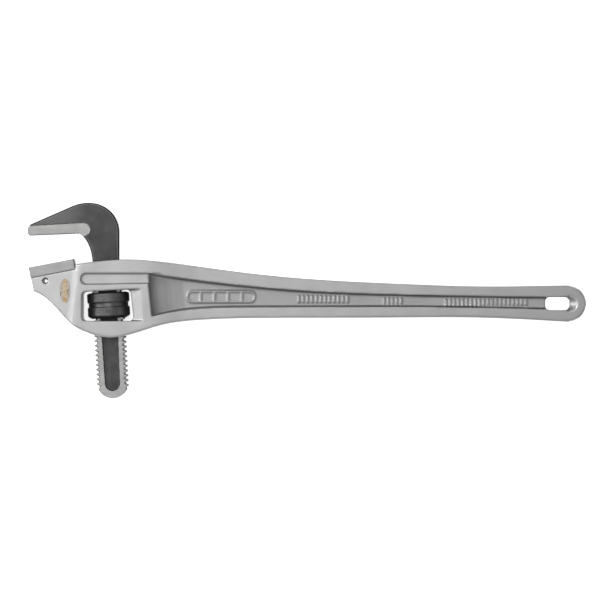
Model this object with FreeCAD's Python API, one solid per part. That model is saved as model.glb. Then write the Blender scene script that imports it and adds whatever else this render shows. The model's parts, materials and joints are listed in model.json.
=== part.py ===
import FreeCAD, Part
import math
import os

# Offset pipe wrench, aluminium handle, lying on its cheek.  Millimetres.
# +X runs along the handle, +Y along the hook shank, +Z is the thickness.
# Everything is built about the mid-plane z = 0 and lifted onto z = 0 at export.

Vector = FreeCAD.Vector

# ---------------------------------------------------------------- driving dimensions
CHEEK_HALF = 23.2            # half thickness of the housing cheeks
CLEAR = 0.15                 # gap between seated pieces

# handle plan
HANDLE_END = (305.0, -3.4)   # far end of the half circle that closes the handle
HANDLE_TOP = [(-252.4, 39.6), (-232.0, 42.3), (-193.4, 44.8), (-160.5, 42.7), (-94.8, 33.9),
              (-7.3, 24.3), (102.0, 18.3), (205.0, 15.4), (250.0, 16.0), (285.0, 16.6)]
HANDLE_BOTTOM = [(285.0, -23.4), (250.0, -21.4), (205.0, -19.3), (80.0, -18.9), (-30.0, -19.1),
                 (-116.0, -21.3), (-160.0, -27.2), (-193.4, -37.4), (-215.0, -40.6),
                 (-237.0, -35.8), (-253.6, -27.6), (-270.0, -11.5), (-281.5, 0.4), (-297.9, 9.9)]
# half thickness of the casting along X: flat cheek, then falling away along the handle
CHEEK_END_X = -180.0
FALL = [(CHEEK_END_X, CHEEK_HALF), (-160.0, 22.0), (-135.0, 19.2), (-90.0, 16.8), (0.0, 15.0), (306.0, 12.6)]
# half thickness of the nose, and the soft step up to the cheek
NOSE = [(-306.0, 14.0), (-256.9, 21.0)]
NOSE_STEP_X = -247.0
NOSE_STEP_Y = 15.0           # height at which the step stands at NOSE_STEP_X
NOSE_STEP_LEAN = 0.11

# I-beam pocket
WEB_HALF = 4.8
POCKET_TOP = [(-176.0, 28.6), (-160.5, 26.8), (-116.7, 21.3), (-51.1, 14.2), (-7.3, 10.7),
              (102.0, 6.5), (200.0, 4.6), (283.0, 3.7)]
POCKET_BOTTOM = [(283.0, -10.6), (200.0, -8.2), (102.0, -7.1), (-50.0, -7.2), (-116.7, -8.6),
                 (-160.5, -14.6), (-176.0, -18.6)]
POCKET_DRAFT = 0.12          # wall lean per mm of depth
POCKET_MARK_Z = 15.0         # level at which the pocket outline above is true
POCKET_NOSE = (287.6, 1.05)  # where the far end meets the floor, and its lean
# the hollow slope from the ridge behind the window down to the web
POCKET_SLOPE = [(-171.5, CHEEK_HALF + 2.0), (-169.0, 19.0), (-163.0, 12.5), (-152.0, 7.6), (-134.0, WEB_HALF)]
SLOPE_LEAN = -0.1            # the ridge leans towards the nose at its top

# plain raised shapes on the web: one long frame, and rows of small upright bars
FRAME_CENTRE = (-93.5, 4.2)
FRAME_SIZE = (75.0, 13.0)
FRAME_LINE = 1.5
FRAME_BARS = 4
RAISED = 0.9
BAR_ROWS = [((18.0, 1.4), 58.0, 7.4), ((94.0, -0.6), 23.0, 6.8), ((196.0, -1.9), 92.0, 6.6)]
BAR_WIDTH = 1.9
BAR_PITCH = 4.5

# shallow groove above the window
GROOVE = (-240.0, -158.0, 23.5, 6.1)   # left centre, right end, centre line, half width
GROOVE_DEPTH = 2.6

# window for the nut, with its sloping finger relief
WINDOW = [(-244.8, 9.3), (-244.8, -22.4), (-188.4, -22.4), (-192.3, 12.0)]
WINDOW_CORNER = 4.4
RELIEF = [(-244.8, 9.3), (-244.8, -22.4), (-177.6, -22.4), (-180.4, 12.8)]
RELIEF_FLOOR = 17.8          # level at which the relief meets the window's straight wall

# hanging hole
HANG_CENTRE = (274.1, -3.45)
HANG_SIZE = (26.4, 14.2)
HANG_CORNER = 4.8

# nut and thread; the jaw axis leans back by JAW_LEAN
NUT_CENTRE = (-216.8, -4.6)
JAW_LEAN = 3.1               # degrees, foot of the shank towards the handle
NUT_RADIUS = 23.1
NUT_HEIGHT = 25.6
NUT_DOME = (0.7, 1.9)        # rise of the raised upper and lower end faces
WAIST_WIDTH = 4.2
WAIST_DEPTH = 1.4
KNURLS = 56
KNURL_DEPTH = 0.45
THREAD_PITCH = 5.25
THREAD_TIP_R = 17.7
THREAD_ROOT_R = 14.9
THREAD_TOP = 42.0            # along the jaw axis, from the nut's centre
THREAD_END = -93.0
NECK_FOOT = 37.5             # where the neck runs into the thread
THREAD_FIRST = 4.2           # first ridge above THREAD_END
TAIL_HALF = 15.2
THREAD_GAP = 0.3             # clearance of the nut's thread, every way
TAIL_END = -102.3

# hook jaw
SHANK_HALF = 7.0             # half thickness of neck and shank
HEAD_HALF = 9.0
HOOK_TEETH = [(-302.4, 70.7), (-247.7, 73.2)]
HOOK_TIP = (-305.0, 76.2)
HOOK_SLOPE = [(-300.7, 83.7), (-255.5, 103.4)]
CROWN_RADIUS = 31.8          # quarter circle from the top of the hook to its back
CROWN_CENTRE = (-236.9, 74.9)
HOOK_BROW = (-246.5, 106.1)
HOOK_THROAT = [(-234.0, 40.0), (-236.3, 55.3), (-241.9, 67.2), (-247.7, 73.2)]
SHANK_BACK_X = -205.1
NECK_LINE = [(-249.0, 71.5), (-204.0, 86.5)]
NECK_RAMP = 34.0
STRIP_TOP = [(-300.6, 81.9), (-243.4, 85.4)]
STRIP_END = (-236.6, 78.4)
STRIP_DEPTH = 0.5
CHANNEL_HALF = (8.0, 9.6)    # half width at the foot and at the head
CHANNEL_FOOT = -94.3
CHANNEL_HEAD = 26.0
CHANNEL_DEPTH = 3.6

# jaw teeth
TOOTH_PITCH = 3.2
TOOTH_DEPTH = 0.55

# heel jaw: a block laid along its own leaning face
HEEL_LEFT = (-303.5, 36.2)   # top left corner
HEEL_LEAN = 10.8
HEEL_LENGTH = 50.2
HEEL_THICK = 11.75
HEEL_HALF = 13.0
TONGUE = (9.0, 41.0, 12.0, 5.0)        # start, end, depth, half thickness
HEEL_PIN = (-285.0, 21.3)
HEEL_PIN_R = 3.0
PIN_WALL = 1.1
PIN_HALF_LENGTH = 12.0

# springs behind the shank
SPRING_Y = 31.0
SPRING_COIL_R = 4.2
SPRING_WIRE_R = 0.6
SPRING_START_X = -196.4
SPRING_END_X = -180.5
SPRING_TURNS = 6
SPRING_ROOM = (-199.0, 22.0, 0.7)      # start and length of the spring's pocket, and its clearance
LEAF_THICK = 1.2
LEAF_HALF = 5.5
LEAF_BOW = [(-195.4, 13.2), (-197.2, 22.0), (-198.9, SPRING_Y), (-198.6, 38.0), (-196.0, 41.6)]
LEAF_ROOM = (5.6, 32.0)                # depth and height of the leaf's pocket
RIVET_R = 2.2
RIVET_HEAD = (-198.4, 2.4)             # start and length of the rivet's head
RIVET_SHAFT = (-200.0, 5.0)

# badge on the nose
BADGE_CENTRE = (-263.3, 10.5)
BADGE_HALF = (5.6, 13.2)
BADGE_THICK = 0.3

# slot for the shank, wide enough for the neck
SLOT = [(-243.0, 60.0), (-238.2, 14.0), (-238.0, -10.0), (-234.4, -60.0),
        (-194.9, -60.0), (-197.2, -10.0), (-198.2, 60.0)]
SLOT_HALF = HEAD_HALF + 0.3


# ---------------------------------------------------------------- helpers
def vec(point, z=0.0):
    return Vector(point[0], point[1], z)


def line(a, b, z=0.0):
    return Part.LineSegment(vec(a, z), vec(b, z)).toShape()


def curve(points, z=0.0):
    spline = Part.BSplineCurve()
    spline.interpolate([vec(p, z) for p in points])
    return spline.toShape()


def arc(a, b, c, z=0.0):
    return Part.Arc(vec(a, z), vec(b, z), vec(c, z)).toShape()


def prism(edges, low, high):
    """Closed outline of edges at z = 0, extruded from low to high."""
    face = Part.Face(Part.Wire(Part.__sortEdges__(edges)))
    solid = face.extrude(Vector(0, 0, high - low))
    solid.translate(Vector(0, 0, low))
    return solid


def polygon(points, z=0.0):
    loop = [vec(p, z) for p in points]
    return Part.makePolygon(loop + [loop[0]])


def poly_prism(points, low, high):
    return Part.Face(polygon(points)).extrude(Vector(0, 0, high - low)).translated(Vector(0, 0, low))


def round_box(centre, size, corner, low, high):
    """Upright block with rounded vertical edges."""
    block = Part.makeBox(size[0], size[1], high - low,
                         Vector(centre[0] - size[0] / 2, centre[1] - size[1] / 2, low))
    upright = [e for e in block.Edges if abs(e.tangentAt(e.FirstParameter).z) > 0.9]
    return block.makeFillet(corner, upright)


def mirrored(shape):
    return shape.mirror(Vector(0, 0, 0), Vector(0, 0, 1))


def to_jaw_axis(shape):
    """Move a shape built about +Z at the origin onto the leaning jaw axis; its x stays across."""
    shape.rotate(Vector(0, 0, 0), Vector(1, 0, 0), -90)
    shape.rotate(Vector(0, 0, 0), Vector(0, 0, 1), JAW_LEAN)
    shape.translate(vec(NUT_CENTRE))
    return shape


def saw_teeth(start, angle, length, low, high, below):
    """Notches of a saw-toothed face: a strip of small wedges along a line."""
    count = int(length // TOOTH_PITCH)
    margin = (length - count * TOOTH_PITCH) / 2
    wedges = []
    for i in range(count):
        x = margin + i * TOOTH_PITCH
        side = -1 if below else 1
        shape = poly_prism([(x, side * 0.5), (x, 0), (x + TOOTH_PITCH * 0.25, -side * TOOTH_DEPTH),
                            (x + TOOTH_PITCH, 0), (x + TOOTH_PITCH, side * 0.5)], low, high)
        wedges.append(shape)
    comb = wedges[0].fuse(wedges[1:])
    comb.rotate(Vector(0, 0, 0), Vector(0, 0, 1), angle)
    comb.translate(vec(start))
    return comb


# ---------------------------------------------------------------- handle
def casting_blank():
    outline = [curve(HANDLE_TOP), arc(HANDLE_TOP[-1], HANDLE_END, HANDLE_BOTTOM[0]), curve(HANDLE_BOTTOM)]
    lean = math.radians(HEEL_LEAN)
    seat_left = (HEEL_LEFT[0] + HEEL_THICK * math.sin(lean) + 0.3,
                 HEEL_LEFT[1] - HEEL_THICK * math.cos(lean))
    seat_right = (seat_left[0] + (HEEL_LENGTH - 0.1) * math.cos(lean),
                  seat_left[1] + (HEEL_LENGTH - 0.1) * math.sin(lean))
    outline += [line(HANDLE_BOTTOM[-1], seat_left), line(seat_left, seat_right),
                line(seat_right, HANDLE_TOP[0])]
    plan = prism(outline, -CHEEK_HALF, CHEEK_HALF)
    step = nose_step()
    return plan.common(thickness_slab()).cut([step, mirrored(step)])


def side_curve(points, sign, start=None):
    """Curve through (x, half thickness) points in the plane y = 0, leaving along start if given."""
    spline = Part.BSplineCurve()
    spots = [Vector(x, 0, sign * z) for x, z in points]
    if start:
        spline.interpolate(Points=spots, InitialTangent=start, FinalTangent=spots[-1] - spots[-2])
    else:
        spline.interpolate(spots)
    return spline.toShape()


def side_line(a, b):
    return Part.LineSegment(Vector(a[0], 0, a[1]), Vector(b[0], 0, b[1])).toShape()


def thickness_slab():
    """Slab as thick as the casting at each X, without the nose step."""
    left = NOSE[0][0]
    last_x, last_z = FALL[-1]
    edges = [side_line((left, CHEEK_HALF), FALL[0]), side_curve(FALL, 1, Vector(15, 0, 0)),
             side_line((last_x, last_z), (last_x, -last_z)), side_curve(FALL, -1, Vector(15, 0, 0)),
             side_line((left, -CHEEK_HALF), (CHEEK_END_X, -CHEEK_HALF)),
             side_line((left, CHEEK_HALF), (left, -CHEEK_HALF))]
    face = Part.Face(Part.Wire(Part.__sortEdges__(edges)))
    return face.extrude(Vector(0, 300, 0)).translated(Vector(0, -150, 0))


def nose_step():
    """What is taken off one side to leave the thinner nose and its soft step."""
    top = CHEEK_HALF + 3
    left = NOSE[0][0]
    slope = (NOSE[1][1] - NOSE[0][1]) / (NOSE[1][0] - left)
    run = NOSE_STEP_X - NOSE[1][0]
    ease = Part.BSplineCurve()
    ease.interpolate(Points=[Vector(NOSE[1][0], 0, NOSE[1][1]), Vector(NOSE_STEP_X, 0, CHEEK_HALF + 0.02)],
                     InitialTangent=Vector(run, 0, run * slope), FinalTangent=Vector(run, 0, 0))
    edges = [side_line(NOSE[0], NOSE[1]), ease.toShape(),
             side_line((NOSE_STEP_X, CHEEK_HALF + 0.02), (NOSE_STEP_X, top)),
             side_line((NOSE_STEP_X, top), (left, top)), side_line((left, top), NOSE[0])]
    face = Part.Face(Part.Wire(edges))
    reach = 75.0
    solid = face.extrude(Vector(2 * reach * NOSE_STEP_LEAN, 2 * reach, 0))
    return solid.translated(Vector(-reach * NOSE_STEP_LEAN, NOSE_STEP_Y - reach, 0))


def pocket_wire(z):
    grow = POCKET_DRAFT * (z - POCKET_MARK_Z)
    top = [(x, y + grow) for x, y in POCKET_TOP]
    bottom = [(x, y - grow) for x, y in POCKET_BOTTOM]
    nose_x, nose_lean = POCKET_NOSE
    nose = (nose_x + nose_lean * (z - WEB_HALF), (top[-1][1] + bottom[0][1]) / 2)
    edges = [curve(top, z), arc(top[-1], nose, bottom[0], z), curve(bottom, z), line(bottom[-1], top[0], z)]
    return Part.Wire(edges)


def handle_pocket():
    """Pocket on one side: straight walls, and a hollow slope behind the window."""
    walls = Part.makeLoft([pocket_wire(WEB_HALF), pocket_wire(CHEEK_HALF + 2)], True, True)
    far = 320.0
    top = CHEEK_HALF + 2
    edges = [side_curve(POCKET_SLOPE, 1), side_line(POCKET_SLOPE[-1], (far, WEB_HALF)),
             side_line((far, WEB_HALF), (far, top)), side_line((far, top), POCKET_SLOPE[0])]
    above = Part.Face(Part.Wire(edges)).extrude(Vector(2 * SLOPE_LEAN * 60, 120, 0))
    above.translate(Vector(-SLOPE_LEAN * 60, -60, 0))
    return walls.common(above)


def raised_shapes():
    """Plain raised frame and bars standing on both faces of the web."""
    reach = WEB_HALF + RAISED
    length, height = FRAME_SIZE
    outer = round_box(FRAME_CENTRE, FRAME_SIZE, height / 2 - 0.6, -reach, reach)
    inner_size = (length - 2 * FRAME_LINE, height - 2 * FRAME_LINE)
    inner = round_box(FRAME_CENTRE, inner_size, inner_size[1] / 2 - 0.6, -reach - 1, reach + 1)
    shapes = [outer.cut(inner)]
    rows = [(FRAME_CENTRE, length * FRAME_BARS / (FRAME_BARS + 1), height - FRAME_LINE, FRAME_BARS)]
    rows += [(centre, run, tall, int(run // BAR_PITCH)) for centre, run, tall in BAR_ROWS]
    for (x, y), run, tall, count in rows:
        for i in range(count):
            left = x - run / 2 + run * (i + 0.5) / count - BAR_WIDTH / 2
            shapes.append(Part.makeBox(BAR_WIDTH, tall, 2 * reach, Vector(left, y - tall / 2, -reach)))
    return shapes


def window_cut():
    through = poly_prism(WINDOW, -CHEEK_HALF - 1, CHEEK_HALF + 1)
    upright = [e for e in through.Edges if abs(e.tangentAt(e.FirstParameter).z) > 0.9]
    through = through.makeFillet(WINDOW_CORNER, upright)
    relief = Part.makeLoft([polygon(WINDOW, RELIEF_FLOOR), polygon(RELIEF, CHEEK_HALF + 0.2)], True, True)
    corners = [e for e in relief.Edges if abs(e.tangentAt(e.FirstParameter).z) > 0.5]
    relief = relief.makeFillet(WINDOW_CORNER - 0.4, corners)
    return through.fuse([relief, mirrored(relief)])


def shank_slot():
    return poly_prism(SLOT, -SLOT_HALF, SLOT_HALF)


def groove_cut():
    left, right, middle, half = GROOVE
    floor = CHEEK_HALF - GROOVE_DEPTH
    edges = [line((left, middle + half), (right, middle + half)),
             line((right, middle + half), (right, middle - half + 1.5)),
             line((right, middle - half + 1.5), (left, middle - half)),
             arc((left, middle - half), (left - half, middle), (left, middle + half))]
    return prism(edges, floor, CHEEK_HALF + 1)


def spring_room():
    start, length, gap = SPRING_ROOM
    pocket = Part.makeCylinder(SPRING_COIL_R + gap, length, Vector(start, SPRING_Y, 0), Vector(1, 0, 0))
    depth, height = LEAF_ROOM
    low = Vector(start + 0.2, LEAF_BOW[0][1] - 1.8, -LEAF_HALF - gap)
    return pocket.fuse(Part.makeBox(depth, height, 2 * (LEAF_HALF + gap), low))


def tongue_block(grow):
    start, end, depth, half = TONGUE
    block = Part.makeBox(end - start + 2 * grow, depth + grow + 1.0, 2 * (half + grow),
                         Vector(start - grow, -HEEL_THICK - depth - grow, -half - grow))
    block.rotate(Vector(0, 0, 0), Vector(0, 0, 1), HEEL_LEAN)
    block.translate(vec(HEEL_LEFT))
    return block


def make_handle():
    body = casting_blank()
    pocket = handle_pocket()
    groove = groove_cut()
    hang = round_box(HANG_CENTRE, HANG_SIZE, HANG_CORNER, -CHEEK_HALF, CHEEK_HALF)
    pin_hole = Part.makeCylinder(HEEL_PIN_R + 0.05, 60, Vector(HEEL_PIN[0], HEEL_PIN[1], -30))
    cuts = [pocket, mirrored(pocket), groove, mirrored(groove), window_cut(), shank_slot(),
            spring_room(), hang, pin_hole, tongue_block(CLEAR)]
    return body.cut(cuts).fuse(raised_shapes())


# ---------------------------------------------------------------- hook jaw
def hook_plate():
    lean = math.radians(JAW_LEAN)
    along = (-math.sin(lean), math.cos(lean))
    across = (math.cos(lean), math.sin(lean))

    def on_axis(side, v):
        return (NUT_CENTRE[0] + side * across[0] + v * along[0],
                NUT_CENTRE[1] + side * across[1] + v * along[1])

    cx, cy = CROWN_CENTRE
    crown_top = (cx, cy + CROWN_RADIUS)
    crown_mid = (cx + CROWN_RADIUS * math.sqrt(0.5), cy + CROWN_RADIUS * math.sqrt(0.5))
    crown_back = (cx + CROWN_RADIUS, cy)
    foot_left = on_axis(-THREAD_ROOT_R + 1.0, NECK_FOOT)
    foot_right = on_axis(THREAD_ROOT_R - 1.0, NECK_FOOT)
    edges = [line(HOOK_TEETH[1], HOOK_TEETH[0]),
             arc(HOOK_TEETH[0], HOOK_TIP, HOOK_SLOPE[0]),
             line(HOOK_SLOPE[0], HOOK_SLOPE[1]),
             arc(HOOK_SLOPE[1], HOOK_BROW, crown_top),
             arc(crown_top, crown_mid, crown_back),
             line(crown_back, (SHANK_BACK_X, 42.0)),
             line((SHANK_BACK_X, 42.0), foot_right),
             line(foot_right, foot_left),
             line(foot_left, HOOK_THROAT[0]),
             curve(HOOK_THROAT)]
    return prism(edges, -HEAD_HALF, HEAD_HALF)


def thickness_form():
    """Slab that is HEAD_HALF thick above the neck line, easing to SHANK_HALF below it."""
    (x0, y0), (x1, y1) = NECK_LINE
    angle = math.degrees(math.atan2(y1 - y0, x1 - x0))
    reach = 90.0

    def ease(sign):
        spline = Part.BSplineCurve()
        spline.interpolate(Points=[Vector(0, 0, sign * HEAD_HALF), Vector(0, -NECK_RAMP, sign * SHANK_HALF)],
                           InitialTangent=Vector(0, -NECK_RAMP, 0), FinalTangent=Vector(0, -NECK_RAMP, 0))
        return spline.toShape()

    def side(a, b):
        return Part.LineSegment(Vector(0, *a), Vector(0, *b)).toShape()

    edges = [side((reach, HEAD_HALF), (0, HEAD_HALF)), ease(1),
             side((-NECK_RAMP, SHANK_HALF), (-reach, SHANK_HALF)),
             side((-reach, SHANK_HALF), (-reach, -SHANK_HALF)),
             side((-reach, -SHANK_HALF), (-NECK_RAMP, -SHANK_HALF)), ease(-1),
             side((0, -HEAD_HALF), (reach, -HEAD_HALF)), side((reach, -HEAD_HALF), (reach, HEAD_HALF))]
    form = Part.Face(Part.Wire(Part.__sortEdges__(edges))).extrude(Vector(260, 0, 0))
    form.translate(Vector(-130, 0, 0))
    form.rotate(Vector(0, 0, 0), Vector(0, 0, 1), angle)
    form.translate(Vector(x0, y0, 0))
    return form


def thread_segment(start_angle):
    """One thread ridge, 90 degrees of a helix about +Z, centred on start_angle."""
    sweep = 90.0
    height = THREAD_PITCH * sweep / 360.0
    path = Part.makeHelix(THREAD_PITCH, height, THREAD_ROOT_R)
    inner = THREAD_ROOT_R - 1.2
    shoulder = THREAD_TIP_R - 0.7
    half = [(inner, 2.05), (THREAD_ROOT_R, 1.75), (shoulder, 1.0), (THREAD_TIP_R, 0.4)]
    loop = [Vector(x, 0, -z) for x, z in half] + [Vector(x, 0, z) for x, z in reversed(half)]
    profile = Part.makePolygon(loop + [loop[0]])
    ridge = Part.Wire(path).makePipeShell([profile], True, True)
    ridge.translate(Vector(0, 0, -height / 2))
    ridge.rotate(Vector(0, 0, 0), Vector(0, 0, 1), start_angle - sweep / 2)
    return ridge


def shank_slab():
    return Part.makeBox(60, 2 * SHANK_HALF, 200, Vector(-30, -SHANK_HALF, -110))


def thread_ridges():
    """Thread ridges on both edges of the shank, half a pitch apart."""
    ridges = []
    for angle, shift in ((0.0, 0.0), (180.0, THREAD_PITCH / 2)):
        ridge = thread_segment(angle).common(shank_slab())
        v = THREAD_END + THREAD_FIRST + shift
        while v < THREAD_TOP - 4.0:
            ridges.append(ridge.translated(Vector(0, 0, v)))
            v += THREAD_PITCH
    return ridges


def rounded_tail():
    """Round-nosed end of the shank below the thread."""
    left, right, top = -TAIL_HALF, TAIL_HALF, THREAD_END + 2.5
    corners = [Vector(left, 0, THREAD_END), Vector(right, 0, THREAD_END),
               Vector(right, 0, top), Vector(left, 0, top)]
    edges = [Part.Arc(corners[0], Vector(0, 0, TAIL_END), corners[1]).toShape()]
    edges += [Part.LineSegment(corners[i], corners[(i + 1) % 4]).toShape() for i in (1, 2, 3)]
    tail = Part.Face(Part.Wire(edges)).extrude(Vector(0, 2 * SHANK_HALF, 0))
    tail.translate(Vector(0, -SHANK_HALF, 0))
    return tail.common(Part.makeCylinder(TAIL_HALF + 1.2, 40, Vector(0, 0, TAIL_END - 5)))


def shank_core():
    """Threaded shank about +Z, its x across the jaw and its y through the thickness."""
    core = Part.makeCylinder(THREAD_ROOT_R, THREAD_TOP - THREAD_END, Vector(0, 0, THREAD_END))
    return core.common(shank_slab()).fuse([rounded_tail()] + thread_ridges())


def shank_channel():
    """Long recess in one flat of the shank, about +Z."""
    low, high = CHANNEL_HALF
    foot = CHANNEL_FOOT + low
    head = CHANNEL_HEAD - high
    edges = [Part.Arc(Vector(-low, 0, foot), Vector(0, 0, CHANNEL_FOOT), Vector(low, 0, foot)).toShape(),
             Part.LineSegment(Vector(low, 0, foot), Vector(high, 0, head)).toShape(),
             Part.Arc(Vector(high, 0, head), Vector(0, 0, CHANNEL_HEAD), Vector(-high, 0, head)).toShape(),
             Part.LineSegment(Vector(-high, 0, head), Vector(-low, 0, foot)).toShape()]
    return Part.Face(Part.Wire(edges)).extrude(Vector(0, CHANNEL_DEPTH + 1, 0))


def strip_cut():
    """Shallow ground strip beside the hook teeth."""
    lift = 3.0
    low_left = (HOOK_TIP[0] - lift, HOOK_TEETH[0][1] - lift)
    low_right = (HOOK_TEETH[1][0] + 4.0, HOOK_TEETH[1][1] - lift)
    edges = [line((low_left[0], STRIP_TOP[0][1] - 0.2), STRIP_TOP[1]),
             arc(STRIP_TOP[1], STRIP_END, low_right),
             line(low_right, low_left),
             line(low_left, (low_left[0], STRIP_TOP[0][1] - 0.2))]
    return prism(edges, HEAD_HALF - STRIP_DEPTH, HEAD_HALF + 1)


def make_hook_jaw():
    head = hook_plate().common(thickness_form())
    slope = math.degrees(math.atan2(HOOK_TEETH[1][1] - HOOK_TEETH[0][1], HOOK_TEETH[1][0] - HOOK_TEETH[0][0]))
    run = HOOK_TEETH[1][0] - HOOK_TEETH[0][0]
    teeth = saw_teeth(HOOK_TEETH[0], slope, run, -HEAD_HALF - 1, HEAD_HALF + 1, True)
    strip = strip_cut()
    head = head.cut([teeth, strip, mirrored(strip)])
    channel = shank_channel()
    low = channel.translated(Vector(0, SHANK_HALF - CHANNEL_DEPTH, 0))
    high = channel.translated(Vector(0, -SHANK_HALF - 1, 0))
    shank = to_jaw_axis(shank_core())
    jaw = head.fuse(shank)
    return jaw.cut([to_jaw_axis(low), to_jaw_axis(high)]).removeSplitter()


# ---------------------------------------------------------------- adjusting nut
def nut_blank():
    half = NUT_HEIGHT / 2
    w = WAIST_WIDTH / 2
    bore = THREAD_ROOT_R + THREAD_GAP
    r = NUT_RADIUS
    up, down = NUT_DOME
    flat = THREAD_TIP_R + THREAD_GAP + 1.0
    outline = [(bore, -half - down), (flat, -half - down), (r - 1.0, -half), (r, -half + 1.0),
               (r, -w - 1.0), (r - WAIST_DEPTH, -w), (r - WAIST_DEPTH, w), (r, w + 1.0),
               (r, half - 1.0), (r - 1.0, half), (flat, half + up), (bore, half + up)]
    loop = [Vector(x, 0, z) for x, z in outline]
    return Part.Face(Part.makePolygon(loop + [loop[0]])).revolve(Vector(0, 0, 0), Vector(0, 0, 1), 360)


def knurl_form():
    """Prism with shallow flutes all round."""
    spots = []
    land = NUT_RADIUS + 0.1
    for i in range(KNURLS):
        for share, r in ((0.0, land), (0.55, land), (0.775, NUT_RADIUS - KNURL_DEPTH)):
            a = 2 * math.pi * (i + share) / KNURLS
            spots.append(Vector(r * math.cos(a), r * math.sin(a), -NUT_HEIGHT))
    return Part.Face(Part.makePolygon(spots + [spots[0]])).extrude(Vector(0, 0, 2 * NUT_HEIGHT))


def thread_grooves():
    """Helical groove that clears the shank's thread by THREAD_GAP, in lengths of a third of a turn."""
    rise = THREAD_PITCH / 3
    path = Part.makeHelix(THREAD_PITCH, rise * 121 / 120, THREAD_ROOT_R)
    inner = THREAD_ROOT_R - 0.6
    outer = THREAD_TIP_R + THREAD_GAP
    half = [(inner, 2.3), (outer - 0.7, 1.45), (outer, 0.9)]
    loop = [Vector(x, 0, -z) for x, z in half] + [Vector(x, 0, z) for x, z in reversed(half)]
    profile = Part.makePolygon(loop + [loop[0]])
    piece = Part.Wire(path).makePipeShell([profile], True, True)
    # in mesh: a ridge sits at angle 0 at THREAD_END + THREAD_FIRST along the axis
    offset = (THREAD_END + THREAD_FIRST) % THREAD_PITCH
    start = -math.ceil((NUT_HEIGHT / 2 + offset) / THREAD_PITCH + 1.5) * THREAD_PITCH + offset
    count = math.ceil((NUT_HEIGHT / 2 + THREAD_PITCH - start) / rise)
    lengths = []
    for i in range(count):
        length = piece.rotated(Vector(0, 0, 0), Vector(0, 0, 1), 120 * i)
        lengths.append(length.translated(Vector(0, 0, start + i * rise)))
    return lengths


def make_nut():
    blank = nut_blank().common(knurl_form())
    blank.rotate(Vector(0, 0, 0), Vector(0, 0, 1), 10)
    nut = blank.cut(thread_grooves())
    return to_jaw_axis(nut)


# ---------------------------------------------------------------- heel jaw and small parts
def make_heel_jaw():
    block = Part.makeBox(HEEL_LENGTH, HEEL_THICK, 2 * HEEL_HALF, Vector(0, -HEEL_THICK, -HEEL_HALF))
    ends = [e for e in block.Edges if abs(e.tangentAt(e.FirstParameter).y) > 0.9]
    block = block.makeChamfer(0.8, ends)
    block.rotate(Vector(0, 0, 0), Vector(0, 0, 1), HEEL_LEAN)
    block.translate(vec(HEEL_LEFT))
    teeth = saw_teeth(HEEL_LEFT, HEEL_LEAN, HEEL_LENGTH, -HEEL_HALF - 1, HEEL_HALF + 1, False)
    hole = Part.makeCylinder(HEEL_PIN_R + 0.05, 60, Vector(HEEL_PIN[0], HEEL_PIN[1], -30))
    return block.cut(teeth).fuse(tongue_block(0)).cut(hole).removeSplitter()


def make_heel_pin():
    pin = Part.makeCylinder(HEEL_PIN_R, 2 * PIN_HALF_LENGTH, Vector(0, 0, -PIN_HALF_LENGTH))
    pin = pin.makeChamfer(0.5, [e for e in pin.Edges if len(e.Vertexes) == 1])
    core = Part.makeCylinder(HEEL_PIN_R - PIN_WALL, 40, Vector(0, 0, -20))
    split = Part.makeBox(5, 1.0, 40, Vector(0, -0.5, -20))
    return pin.cut([core, split]).translated(vec(HEEL_PIN))


def make_coil_spring():
    length = SPRING_END_X - SPRING_START_X - 2 * SPRING_WIRE_R
    path = Part.makeHelix(length / SPRING_TURNS, length, SPRING_COIL_R - SPRING_WIRE_R)
    start = Vector(SPRING_COIL_R - SPRING_WIRE_R, 0, 0)
    ring = Part.Wire(Part.makeCircle(SPRING_WIRE_R, start, Vector(0, 1, 0)))
    coil = Part.Wire(path).makePipeShell([ring], True, True)
    coil.rotate(Vector(0, 0, 0), Vector(0, 1, 0), 90)
    coil.translate(Vector(SPRING_START_X + SPRING_WIRE_R, SPRING_Y, 0))
    return coil


def make_flat_spring():
    outer = LEAF_BOW
    inner = [(x - LEAF_THICK, y) for x, y in LEAF_BOW]
    edges = [curve(inner), line(inner[-1], outer[-1]), curve(outer), line(outer[0], inner[0])]
    leaf = prism(edges, -LEAF_HALF, LEAF_HALF)
    hole = Part.makeCylinder(RIVET_R * 0.6 + 0.05, 10, Vector(-203, SPRING_Y, 0), Vector(1, 0, 0))
    return leaf.cut(hole)


def make_spring_rivet():
    along = Vector(1, 0, 0)
    shaft = Part.makeCylinder(RIVET_R * 0.6, RIVET_SHAFT[1], Vector(RIVET_SHAFT[0], SPRING_Y, 0), along)
    head = Part.makeCylinder(RIVET_R, RIVET_HEAD[1], Vector(RIVET_HEAD[0], SPRING_Y, 0), along)
    return head.fuse(shaft)


def make_badge():
    """Thin oval label on the sloping side of the nose."""
    (x0, z0), (x1, z1) = NOSE
    slope = (z1 - z0) / (x1 - x0)
    cross_slope = -slope * NOSE_STEP_LEAN
    face_z = z0 + slope * (BADGE_CENTRE[0] - x0) + cross_slope * (BADGE_CENTRE[1] - NOSE_STEP_Y)
    half_x, half_y = BADGE_HALF
    oval = Part.Ellipse(Vector(0, 0, 0), half_y, half_x).toShape()
    plate = Part.Face(Part.Wire(oval)).extrude(Vector(0, 0, BADGE_THICK))
    plate.rotate(Vector(0, 0, 0), Vector(0, 0, 1), 90)
    plate.rotate(Vector(0, 0, 0), Vector(1, 0, 0), math.degrees(math.atan(cross_slope)))
    plate.rotate(Vector(0, 0, 0), Vector(0, 1, 0), -math.degrees(math.atan(slope)))
    plate.translate(vec(BADGE_CENTRE, face_z + 0.01))
    return plate


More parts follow.
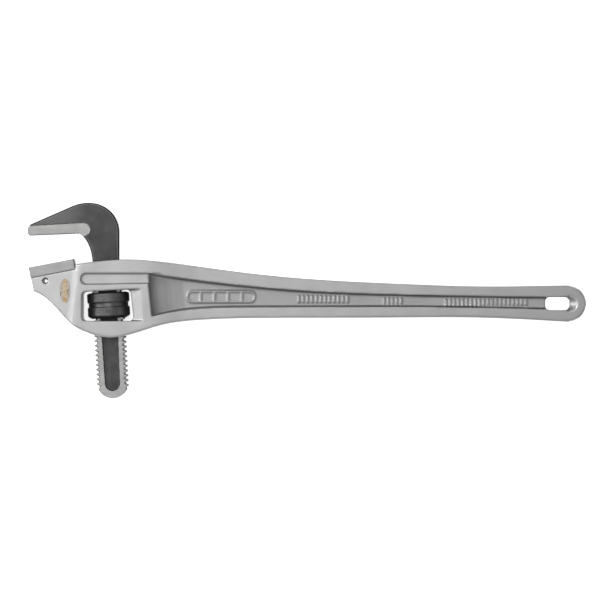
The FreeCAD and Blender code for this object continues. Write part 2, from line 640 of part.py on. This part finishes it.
PARTS = {
    "handle": make_handle,
    "hook_jaw": make_hook_jaw,
    "adjusting_nut": make_nut,
    "heel_jaw": make_heel_jaw,
    "heel_jaw_pin": make_heel_pin,
    "coil_spring": make_coil_spring,
    "flat_spring": make_flat_spring,
    "spring_rivet": make_spring_rivet,
    "badge": make_badge,
}

os.makedirs("parts", exist_ok=True)
for name, make in PARTS.items():
    shape = make()
    shape.translate(Vector(0, 0, CHEEK_HALF))
    box = shape.BoundBox
    print(name, shape.ShapeType, len(shape.Solids), shape.isValid(), round(shape.Volume),
          [round(v, 2) for v in (box.XMin, box.XMax, box.YMin, box.YMax, box.ZMin, box.ZMax)])
    shape.exportStep("parts/%s.step" % name)
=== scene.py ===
import json
import math

import bmesh
import bpy
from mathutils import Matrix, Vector


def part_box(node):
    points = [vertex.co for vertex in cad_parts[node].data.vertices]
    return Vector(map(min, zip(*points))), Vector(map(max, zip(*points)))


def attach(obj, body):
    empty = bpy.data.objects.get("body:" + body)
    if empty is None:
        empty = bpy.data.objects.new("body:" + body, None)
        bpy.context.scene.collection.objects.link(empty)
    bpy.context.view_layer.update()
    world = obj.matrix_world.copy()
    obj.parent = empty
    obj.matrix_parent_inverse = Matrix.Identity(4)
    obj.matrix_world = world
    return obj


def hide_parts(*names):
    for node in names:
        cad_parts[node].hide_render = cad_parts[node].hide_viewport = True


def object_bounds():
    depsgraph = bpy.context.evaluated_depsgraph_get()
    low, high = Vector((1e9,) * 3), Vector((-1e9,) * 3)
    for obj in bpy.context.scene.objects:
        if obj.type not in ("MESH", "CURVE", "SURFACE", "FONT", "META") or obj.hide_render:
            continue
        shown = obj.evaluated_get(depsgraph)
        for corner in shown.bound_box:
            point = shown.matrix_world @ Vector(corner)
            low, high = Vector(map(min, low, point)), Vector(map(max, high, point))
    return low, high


# Looks for the offset pipe wrench.  Metres, in the frame's own axes.

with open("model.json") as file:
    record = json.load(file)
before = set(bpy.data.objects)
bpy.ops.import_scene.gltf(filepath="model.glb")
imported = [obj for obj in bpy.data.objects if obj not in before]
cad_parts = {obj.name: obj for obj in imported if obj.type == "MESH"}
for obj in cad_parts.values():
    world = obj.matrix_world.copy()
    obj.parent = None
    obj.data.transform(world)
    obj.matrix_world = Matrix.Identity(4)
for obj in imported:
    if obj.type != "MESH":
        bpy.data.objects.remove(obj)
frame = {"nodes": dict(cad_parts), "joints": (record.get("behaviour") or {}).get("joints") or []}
cad_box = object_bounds()
nodes = frame["nodes"]
joints = {j["name"]: j for j in frame["joints"]}
scene = bpy.context.scene

middle = (Vector(cad_box[0]) + Vector(cad_box[1])) / 2
mid_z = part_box("hook_jaw")[0].z / 2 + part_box("hook_jaw")[1].z / 2
jaw_up = Vector(joints["jaw_slide"]["axis"]).normalized()
nut_centre = Vector(joints["nut_spin"]["pos_m"])


# ---------------------------------------------------------------- materials
# Colours are linear.  Places are along X, depths are from the mid-plane.
ALUMINIUM = (0.52, 0.52, 0.522)
RIM_PAINTED_HIGHLIGHT = (0.80, 0.80, 0.80)
HANDLE_PAINTED_FALLOFF = (-0.12, 0.30)             # painted shade: the casting is painted darker between these places, away from the key light
# depths between which the painted shade of the recesses fades in
FACE_DEPTH, RECESS_DEPTH = 0.0105, 0.0050
WALL_SHADE_STEEP = (0.32, 0.6)                # how steep a wall is where its painted shade starts and ends
RIM_FROM, RIM_TO = 0.286, 0.297         # the sloped rim right of the hanging hole
RIM_FADE = 0.002
FORGED_DARK, FORGED_LIGHT = (0.064, 0.064, 0.065), (0.106, 0.106, 0.107)
# a painted sheen towards the tip, a painted highlight along the edges, painted shade on the steep sides
FORGED_SHEEN, FORGED_EDGE_HIGHLIGHT, FORGED_SIDE_SHADE = (0.20, 0.20, 0.20), (0.26, 0.26, 0.26), (0.006, 0.006, 0.006)
HOOK_PAINTED_SHEEN = (-0.238, -0.268)            # painted sheen: the hook is lighter between here and its tip
EDGE_STEEP, SIDE_STEEP = (0.002, 0.014), (0.03, 0.08)
NUT_DARK, NUT_LIGHT = (0.104, 0.104, 0.105), (0.170, 0.170, 0.171)
GOLD_DARK, GOLD_LIGHT = (0.52, 0.33, 0.12), (0.66, 0.55, 0.38)
CREAM, FLECK = (0.60, 0.52, 0.44), (0.10, 0.08, 0.07)


def new_material(name):
    material = bpy.data.materials.new(name)
    material.use_nodes = True
    tree = material.node_tree
    return material, tree, tree.nodes["Principled BSDF"]


def add(tree, kind, **values):
    """A node with its properties and numbered or named inputs set."""
    node = tree.nodes.new(kind)
    for key, value in values.items():
        if key.startswith("in_"):
            node.inputs[key[3:].replace("_", " ")].default_value = value
        else:
            setattr(node, key, value)
    return node


def shade(colour, factor):
    return tuple(c * factor for c in colour)


def coordinate(tree, vector, axis):
    """One coordinate of a vector, "X", "Y" or "Z"."""
    node = add(tree, "ShaderNodeSeparateXYZ")
    tree.links.new(vector, node.inputs["Vector"])
    return node.outputs[axis]


def calculate(tree, operation, *values):
    """A maths node on sockets and plain numbers."""
    node = add(tree, "ShaderNodeMath", operation=operation)
    for index, value in enumerate(values):
        if isinstance(value, float):
            node.inputs[index].default_value = value
        else:
            tree.links.new(value, node.inputs[index])
    return node.outputs[0]


def noise(tree, coordinates, scale, detail=3.0, roughness=0.55, stretch=None, turn=0.0):
    """Noise in the piece's own coordinates, stretched along an axis turned about Z if asked."""
    if stretch:
        mapping = add(tree, "ShaderNodeMapping")
        mapping.inputs["Scale"].default_value = stretch
        mapping.inputs["Rotation"].default_value = (0.0, 0.0, math.radians(turn))
        tree.links.new(coordinates, mapping.inputs["Vector"])
        coordinates = mapping.outputs["Vector"]
    node = add(tree, "ShaderNodeTexNoise", in_Scale=scale, in_Detail=detail, in_Roughness=roughness)
    tree.links.new(coordinates, node.inputs["Vector"])
    return node.outputs["Fac"]


def remap(tree, value, in_low, in_high, out_low, out_high):
    node = add(tree, "ShaderNodeMapRange")
    for key, number in (("From Min", in_low), ("From Max", in_high)):
        node.inputs[key].default_value = number
    for key, number in (("To Min", out_low), ("To Max", out_high)):
        node.inputs[key].default_value = number
    tree.links.new(value, node.inputs["Value"])
    return node.outputs["Result"]


def mix_colour(tree, share, first, second):
    """A blend of two colours, each a tuple or a socket."""
    node = add(tree, "ShaderNodeMix", data_type="RGBA")
    for index, value in ((6, first), (7, second)):
        if isinstance(value, tuple):
            node.inputs[index].default_value = (*value, 1.0)
        else:
            tree.links.new(value, node.inputs[index])
    tree.links.new(share, node.inputs[0])
    return node.outputs[2]


def bump(tree, height, strength, distance, normal=None):
    node = add(tree, "ShaderNodeBump", in_Strength=strength, in_Distance=distance)
    tree.links.new(height, node.inputs["Height"])
    if normal:
        tree.links.new(normal, node.inputs["Normal"])
    return node.outputs["Normal"]


def painted_recess_shade(tree, spot, shallow, deep):
    """1 on the outer faces, 0 in the recesses where shade is painted, by distance from the mid-plane."""
    centred = calculate(tree, "SUBTRACT", coordinate(tree, spot, "Z"), mid_z)
    return remap(tree, calculate(tree, "ABSOLUTE", centred), deep, shallow, 0.0, 1.0)


def steepness(tree):
    """0 on faces that lie flat, 1 on faces that stand upright, in the piece's own axes."""
    normal = add(tree, "ShaderNodeTexCoord").outputs["Normal"]
    size = calculate(tree, "ABSOLUTE", coordinate(tree, normal, "Z"))
    return calculate(tree, "SUBTRACT", 1.0, size)


def cast_aluminium():
    material, tree, shader = new_material("cast_aluminium")
    spot = add(tree, "ShaderNodeTexCoord").outputs["Object"]
    grain = noise(tree, spot, 1900.0, 2.0)
    cloud = noise(tree, spot, 46.0, 4.0)
    orange = noise(tree, spot, 420.0, 2.0)
    tone = mix_colour(tree, remap(tree, cloud, 0.3, 0.7, 0.0, 1.0), ALUMINIUM, shade(ALUMINIUM, 1.08))
    tone = mix_colour(tree, remap(tree, grain, 0.35, 0.7, 0.0, 0.3), tone, shade(ALUMINIUM, 1.25))
    along = coordinate(tree, spot, "X")
    # painted shade: darker towards the handle's end, where less light falls
    tone = mix_colour(tree, remap(tree, along, *HANDLE_PAINTED_FALLOFF, 0.0, 0.8), tone, shade(ALUMINIUM, 0.80))
    # painted shade: the recesses are darker, as if shaded by their walls
    face = painted_recess_shade(tree, spot, FACE_DEPTH, RECESS_DEPTH)
    tone = mix_colour(tree, face, shade(ALUMINIUM, 0.86), tone)
    steep = steepness(tree)
    # painted shade on steep walls and rounded edges
    tone = mix_colour(tree, remap(tree, steep, *WALL_SHADE_STEEP, 0.0, 0.6), tone, shade(ALUMINIUM, 0.3))
    # painted highlight on the sloped rim right of the hanging hole
    rim = calculate(tree, "MULTIPLY", remap(tree, along, RIM_FROM, RIM_FROM + RIM_FADE, 0.0, 1.0),
                    remap(tree, along, RIM_TO - RIM_FADE, RIM_TO, 1.0, 0.0))
    rim = calculate(tree, "MULTIPLY", rim, remap(tree, steep, 0.03, 0.10, 0.0, 1.0))
    tone = mix_colour(tree, rim, tone, RIM_PAINTED_HIGHLIGHT)
    tree.links.new(tone, shader.inputs["Base Color"])
    tree.links.new(remap(tree, cloud, 0.3, 0.7, 0.46, 0.39), shader.inputs["Roughness"])
    shader.inputs["Metallic"].default_value = 0.9
    normal = bump(tree, grain, 0.2, 0.0001)
    normal = bump(tree, orange, 0.1, 0.0003, normal)
    tree.links.new(normal, shader.inputs["Normal"])
    return material


def forged_steel():
    material, tree, shader = new_material("forged_steel")
    spot = add(tree, "ShaderNodeTexCoord").outputs["Object"]
    grain = noise(tree, spot, 900.0, 3.0)
    cloud = noise(tree, spot, 70.0, 5.0)
    tone = mix_colour(tree, remap(tree, cloud, 0.3, 0.75, 0.0, 1.0), FORGED_DARK, FORGED_LIGHT)
    # painted reflection: the hook is lighter towards its tip
    tip_sheen = remap(tree, coordinate(tree, spot, "X"), *HOOK_PAINTED_SHEEN, 0.0, 0.7)
    tone = mix_colour(tree, tip_sheen, tone, FORGED_SHEEN)
    steep = steepness(tree)
    # painted highlight along the rounded edges, painted shade on the steep sides
    tone = mix_colour(tree, remap(tree, steep, *EDGE_STEEP, 0.0, 0.7), tone, FORGED_EDGE_HIGHLIGHT)
    tone = mix_colour(tree, remap(tree, steep, *SIDE_STEEP, 0.0, 1.0), tone, FORGED_SIDE_SHADE)
    tree.links.new(tone, shader.inputs["Base Color"])
    tree.links.new(remap(tree, steep, *SIDE_STEEP, 0.4, 0.02), shader.inputs["Specular IOR Level"])
    tree.links.new(remap(tree, steep, *SIDE_STEEP, 0.35, 0.0), shader.inputs["Metallic"])
    tree.links.new(remap(tree, cloud, 0.3, 0.7, 0.5, 0.36), shader.inputs["Roughness"])
    normal = bump(tree, grain, 0.25, 0.0002)
    normal = bump(tree, cloud, 0.2, 0.0006, normal)
    tree.links.new(normal, shader.inputs["Normal"])
    return material


def ground_steel(name, base, stretch, roughness=(0.3, 0.42), turn=0.0):
    """Bare ground steel with striations along one axis, and painted shade on its steep sides."""
    material, tree, shader = new_material(name)
    spot = add(tree, "ShaderNodeTexCoord").outputs["Object"]
    lines = noise(tree, spot, 300.0, 5.0, 0.7, stretch, turn)
    cloud = noise(tree, spot, 90.0, 3.0)
    tone = mix_colour(tree, remap(tree, lines, 0.3, 0.7, 0.0, 1.0), shade(base, 0.80), base)
    # painted shade on the steep sides and thread flanks
    tone = mix_colour(tree, remap(tree, steepness(tree), 0.08, 0.35, 0.0, 0.85), tone, (0.07, 0.07, 0.07))
    tree.links.new(tone, shader.inputs["Base Color"])
    tree.links.new(remap(tree, cloud, 0.3, 0.7, *roughness), shader.inputs["Roughness"])
    shader.inputs["Metallic"].default_value = 1.0
    tree.links.new(bump(tree, lines, 0.25, 0.0001), shader.inputs["Normal"])
    return material


def black_oxide():
    material, tree, shader = new_material("black_oxide")
    spot = add(tree, "ShaderNodeTexCoord").outputs["Object"]
    cloud = noise(tree, spot, 120.0, 4.0)
    tone = mix_colour(tree, remap(tree, cloud, 0.35, 0.7, 0.0, 1.0), NUT_DARK, NUT_LIGHT)
    tree.links.new(tone, shader.inputs["Base Color"])
    tree.links.new(remap(tree, cloud, 0.3, 0.7, 0.42, 0.28), shader.inputs["Roughness"])
    shader.inputs["Metallic"].default_value = 0.85
    tree.links.new(bump(tree, noise(tree, spot, 1200.0, 2.0), 0.15, 0.0001), shader.inputs["Normal"])
    return material


def plain_steel(name, tone, roughness):
    material, tree, shader = new_material(name)
    spot = add(tree, "ShaderNodeTexCoord").outputs["Object"]
    grain = noise(tree, spot, 800.0, 3.0)
    colour = mix_colour(tree, remap(tree, grain, 0.3, 0.7, 0.0, 1.0), shade(tone, 0.8), tone)
    tree.links.new(colour, shader.inputs["Base Color"])
    tree.links.new(remap(tree, grain, 0.3, 0.7, roughness, roughness + 0.1), shader.inputs["Roughness"])
    shader.inputs["Metallic"].default_value = 1.0
    return material


def label_print():
    """Plain gold and cream oval with meaningless dark flecks down both sides."""
    material, tree, shader = new_material("label_print")
    spot = add(tree, "ShaderNodeTexCoord").outputs["Object"]
    low_corner, high_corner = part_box("badge")
    centre = (low_corner + high_corner) / 2
    half = (high_corner - low_corner) / 2
    local = add(tree, "ShaderNodeMapping", vector_type="TEXTURE")
    local.inputs["Location"].default_value = centre
    local.inputs["Scale"].default_value = (half.x, half.x, half.x)
    tree.links.new(spot, local.inputs["Vector"])
    across = calculate(tree, "ABSOLUTE", coordinate(tree, local.outputs["Vector"], "X"))
    patch = noise(tree, spot, 330.0, 2.0)
    weave = noise(tree, spot, 900.0, 1.0, 0.5, (1.0, 0.35, 1.0))
    gold = mix_colour(tree, remap(tree, patch, 0.40, 0.60, 0.0, 1.0), GOLD_DARK, GOLD_LIGHT)
    side = remap(tree, across, 0.30, 0.42, 0.0, 1.0)
    tone = mix_colour(tree, side, gold, CREAM)
    fleck = calculate(tree, "MULTIPLY", remap(tree, weave, 0.55, 0.62, 0.0, 0.75), side)
    tree.links.new(mix_colour(tree, fleck, tone, FLECK), shader.inputs["Base Color"])
    shader.inputs["Roughness"].default_value = 0.35
    return material


# ---------------------------------------------------------------- mesh work
def copy_of(node, name):
    """A new piece with a welded copy of a CAD node's mesh."""
    mesh = nodes[node].data.copy()
    mesh.materials.clear()
    work = bmesh.new()
    work.from_mesh(mesh)
    bmesh.ops.remove_doubles(work, verts=work.verts, dist=1e-6)
    work.to_mesh(mesh)
    work.free()
    piece = bpy.data.objects.new(name, mesh)
    scene.collection.objects.link(piece)
    return piece


def bake_modifiers(piece):
    graph = bpy.context.evaluated_depsgraph_get()
    mesh = bpy.data.meshes.new_from_object(piece.evaluated_get(graph))
    piece.modifiers.clear()
    piece.data = mesh
    for face in mesh.polygons:
        face.use_smooth = True


def soften(piece, voxel, passes, factor=0.5):
    """Remesh to small even quads and take the edge off every corner."""
    remesh = piece.modifiers.new("remesh", "REMESH")
    remesh.mode = "VOXEL"
    remesh.voxel_size = voxel
    bake_modifiers(piece)
    smooth = piece.modifiers.new("smooth", "SMOOTH")
    smooth.iterations = passes
    smooth.factor = factor
    bake_modifiers(piece)


def round_where(piece, passes, test):
    """Round the edges further where the vertices pass the test."""
    group = piece.vertex_groups.new(name="round")
    group.add([v.index for v in piece.data.vertices if test(v.co)], 1.0, "REPLACE")
    smooth = piece.modifiers.new("round", "SMOOTH")
    smooth.iterations = passes
    smooth.factor = 0.5
    smooth.vertex_group = group.name
    bake_modifiers(piece)
    piece.vertex_groups.clear()


def outline_test(piece, reach, step=0.002):
    """Test for vertices close to the outer outline seen from above, by slices along X."""
    edges = {}
    for vertex in piece.data.vertices:
        key = round(vertex.co.x / step)
        least, most = edges.get(key, (1.0, -1.0))
        edges[key] = (min(least, vertex.co.y), max(most, vertex.co.y))

    def near(co):
        least, most = edges[round(co.x / step)]
        return co.y > most - reach or co.y < least + reach

    return near


def paint_where(piece, index, test):
    """Give material number index to the faces that pass the test."""
    for face in piece.data.polygons:
        if test(face.center, face.normal):
            face.material_index = index


def stand_for(piece, node, body):
    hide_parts(node)
    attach(piece, body)


def use_material(node, material):
    nodes[node].data.materials.clear()
    nodes[node].data.materials.append(material)
    for slot in nodes[node].material_slots:
        slot.material = material


# ---------------------------------------------------------------- pieces
CASTING_VOXEL, FINE_VOXEL = 0.0009, 0.0004
HOOK_VOXEL = 0.00045
OUTLINE_REACH = 0.005                   # how far in from the outline the casting is rounded further
LEAF_EASE = 0.0003                      # the leaf's pocket is opened by this much
LEAF_HALF_REACH = 0.007
STRIP_CENTRE, STRIP_RADIUS = Vector((-0.2436, 0.0778)), 0.0074     # round end of the ground strip
STRIP_RISE = 0.06                       # how much the strip narrows towards the tip
SHANK_HALF = 0.0070
NECK_START = 0.042                      # along the jaw axis from the nut, where the hook gets round edges
HOOK_EDGE_PASSES, TIP_PASSES, OUTLINE_PASSES = 90, 14, 14
TIP_REACH = 0.0035
THREAD_FROM, THREAD_TO, THREAD_SIDE = -0.0915, 0.036, 0.0112
HEEL_STRIATION_TURN = -10.8             # degrees, along the heel jaw's own length


def ease_leaf_pocket(piece):
    """Open the leaf spring's pocket slightly, where smoothing has filled its corners."""
    leaf_low, leaf_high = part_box("flat_spring")
    for vertex in piece.data.vertices:
        co = vertex.co
        beside = leaf_low.x - 0.002 < co.x < leaf_high.x + 0.004
        level = leaf_low.y - 0.003 < co.y < leaf_high.y + 0.002
        if beside and level and abs(co.z - mid_z) < LEAF_HALF_REACH:
            co.z += math.copysign(LEAF_EASE, co.z - mid_z)
            if co.x > leaf_high.x:
                co.x += LEAF_EASE


def handle_casting():
    piece = copy_of("handle", "handle_casting")
    soften(piece, CASTING_VOXEL, 3)
    ease_leaf_pocket(piece)
    near_outline = outline_test(piece, OUTLINE_REACH)
    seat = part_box("heel_jaw")[1].x
    round_where(piece, OUTLINE_PASSES, lambda co: co.x > seat + 0.002 and near_outline(co))
    piece.data.materials.append(cast_aluminium())
    stand_for(piece, "handle", "body")


def hook_forging():
    piece = copy_of("hook_jaw", "hook_forging")
    soften(piece, HOOK_VOXEL, 2)
    head_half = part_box("hook_jaw")[1].z - mid_z
    hook_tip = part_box("hook_jaw")[0].x

    def by_strip(co, margin):
        """True over the ground strip beside the teeth, grown by margin."""
        reach = STRIP_RADIUS + margin
        if co.x < STRIP_CENTRE.x:
            return co.y < STRIP_CENTRE.y + reach - STRIP_RISE * (STRIP_CENTRE.x - co.x)
        return (Vector((co.x, co.y)) - STRIP_CENTRE).length < reach

    def round_edges(co):
        return (co - nut_centre).dot(jaw_up) > NECK_START and not by_strip(co, 0.0018)

    round_where(piece, HOOK_EDGE_PASSES, round_edges)
    round_where(piece, TIP_PASSES, lambda co: co.x < hook_tip + TIP_REACH)
    piece.data.materials.append(forged_steel())
    piece.data.materials.append(ground_steel("ground_hook", (0.46, 0.46, 0.455), (0.15, 1.0, 1.0)))

    def is_ground(centre, normal):
        level = abs(centre.z - mid_z)
        along = (centre - nut_centre).dot(jaw_up)
        flat = abs(normal.z) > 0.9
        on_strip = flat and head_half - 0.0008 < level < head_half - 0.0002 and by_strip(centre, 0.0)
        on_shank = along < 0.034 and level > SHANK_HALF - 0.0008 and flat
        side = Vector((centre.x, centre.y, 0)) - Vector((nut_centre.x, nut_centre.y, 0))
        side -= jaw_up * side.dot(jaw_up)
        on_thread = THREAD_FROM < along < THREAD_TO and side.length > THREAD_SIDE
        return on_strip or on_shank or on_thread

    paint_where(piece, 1, is_ground)
    stand_for(piece, "hook_jaw", "hook")


def knurled_nut():
    piece = copy_of("adjusting_nut", "knurled_nut")
    soften(piece, FINE_VOXEL, 2)
    piece.data.materials.append(black_oxide())
    stand_for(piece, "adjusting_nut", "nut")


def heel_insert():
    piece = copy_of("heel_jaw", "heel_insert")
    soften(piece, FINE_VOXEL, 2)
    steel = ground_steel("ground_heel", (0.44, 0.44, 0.44), (0.08, 1.0, 1.0), (0.3, 0.4), HEEL_STRIATION_TURN)
    piece.data.materials.append(steel)
    stand_for(piece, "heel_jaw", "body")


def small_parts():
    use_material("heel_jaw_pin", plain_steel("pin_steel", (0.42, 0.42, 0.42), 0.35))
    spring = plain_steel("spring_steel", (0.25, 0.25, 0.26), 0.35)
    use_material("coil_spring", spring)
    use_material("flat_spring", spring)
    use_material("spring_rivet", plain_steel("rivet_steel", (0.4, 0.4, 0.4), 0.4))
    use_material("badge", label_print())


# ---------------------------------------------------------------- stage
VIEW_WIDTH = 0.6568                     # metres across the view at the wrench's mid height
VIEW_CENTRE = (-0.0073, 0.0005)
CAMERA_HEIGHT = 4.0
SKY_LEFT, SKY_RIGHT, SKY_TOP = 0.40, 0.26, (0.47, 0.47, 0.47)
FLOOR_GLOW = 0.8
LIGHTS = [                              # name, place, aim, size, watts
    ("overhead", (-0.7, 0.5, 5.2), (0, 0, 0), 3.4, 25.0),
    ("key", (-2.4, 0.9, 2.2), (-0.1, 0, 0), 1.6, 25.0),
    ("low_left", (-3.0, 0.2, 0.9), (0, 0, 0), 1.2, 8.0),
    ("top_side", (-0.3, 2.6, 2.4), (0, 0, 0), 1.4, 7.0),
]


def set_camera():
    data = bpy.data.cameras.new("camera")
    data.sensor_width = 36.0
    data.lens = data.sensor_width * CAMERA_HEIGHT / VIEW_WIDTH
    data.clip_end = 50.0
    camera = bpy.data.objects.new("camera", data)
    camera.location = (*VIEW_CENTRE, middle.z + CAMERA_HEIGHT)
    scene.collection.objects.link(camera)
    scene.camera = camera


def area_light(name, place, aim, size, power):
    data = bpy.data.lights.new(name, "AREA")
    data.shape = "DISK"
    data.size = size
    data.energy = power
    light = bpy.data.objects.new(name, data)
    light.location = place
    light.rotation_euler = (Vector(aim) - Vector(place)).to_track_quat("-Z", "Y").to_euler()
    scene.collection.objects.link(light)


def pale_floor():
    bpy.ops.mesh.primitive_plane_add(size=8.0, location=(0, 0, 0))
    floor = bpy.context.object
    floor.name = "floor"
    material, _, shader = new_material("floor")
    shader.inputs["Base Color"].default_value = (0.9, 0.9, 0.9, 1.0)
    shader.inputs["Roughness"].default_value = 0.9
    shader.inputs["Emission Color"].default_value = (1.0, 1.0, 1.0, 1.0)
    shader.inputs["Emission Strength"].default_value = FLOOR_GLOW
    floor.data.materials.append(material)


def studio_sky():
    """Grey surroundings, lighter overhead and to the left."""
    world = bpy.data.worlds.new("studio")
    world.use_nodes = True
    tree = world.node_tree
    direction = add(tree, "ShaderNodeTexCoord").outputs["Generated"]
    up = remap(tree, coordinate(tree, direction, "Z"), 0.05, 0.65, 0.0, 1.0)
    side = remap(tree, coordinate(tree, direction, "X"), -0.8, 0.8, SKY_LEFT, SKY_RIGHT)
    horizon = add(tree, "ShaderNodeCombineColor")
    for name in ("Red", "Green", "Blue"):
        tree.links.new(side, horizon.inputs[name])
    sky = mix_colour(tree, up, horizon.outputs["Color"], SKY_TOP)
    tree.links.new(sky, tree.nodes["Background"].inputs["Color"])
    tree.nodes["Background"].inputs["Strength"].default_value = 1.0
    scene.world = world


def set_stage():
    pale_floor()
    studio_sky()
    for light in LIGHTS:
        area_light(*light)
    scene.view_settings.view_transform = "Standard"


handle_casting()
hook_forging()
knurled_nut()
heel_insert()
small_parts()
set_camera()
set_stage()
